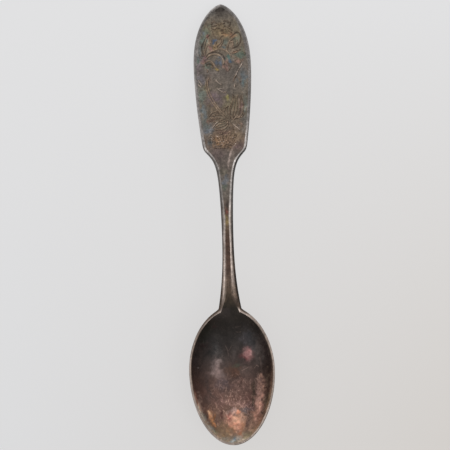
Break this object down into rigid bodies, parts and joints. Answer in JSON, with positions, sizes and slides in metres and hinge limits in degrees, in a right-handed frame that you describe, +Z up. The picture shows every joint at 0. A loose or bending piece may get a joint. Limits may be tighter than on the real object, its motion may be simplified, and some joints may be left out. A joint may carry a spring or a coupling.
{
  "type": "teaspoon",
  "caption": "Old plated teaspoon with a raised oval bowl, a slender bevelled stem and a flat engraved blade with a pointed arch at its tip.",
  "frame": {"origin": "on the table, under the middle of the spoon's box", "axes": "+Y along the spoon towards the tip of the blade, +Z up out of the bowl, +X across the spoon"},
  "size_m": [0.0272, 0.14, 0.0162],
  "materials": {
    "bowl_metal": "dark brown tarnish over worn silver plate, with copper glints near the toe",
    "stem_metal": "mottled grey-brown tarnish with bright worn bevels",
    "blade_metal": "grey-brown tarnish with olive and blue-green patches, and bright yellow metal in the engraved lines"
  },
  "bodies": {
    "root": {"bowl": "bowl_metal", "stem": "stem_metal", "handle_blade": "blade_metal"}
  },
  "joints": []
}
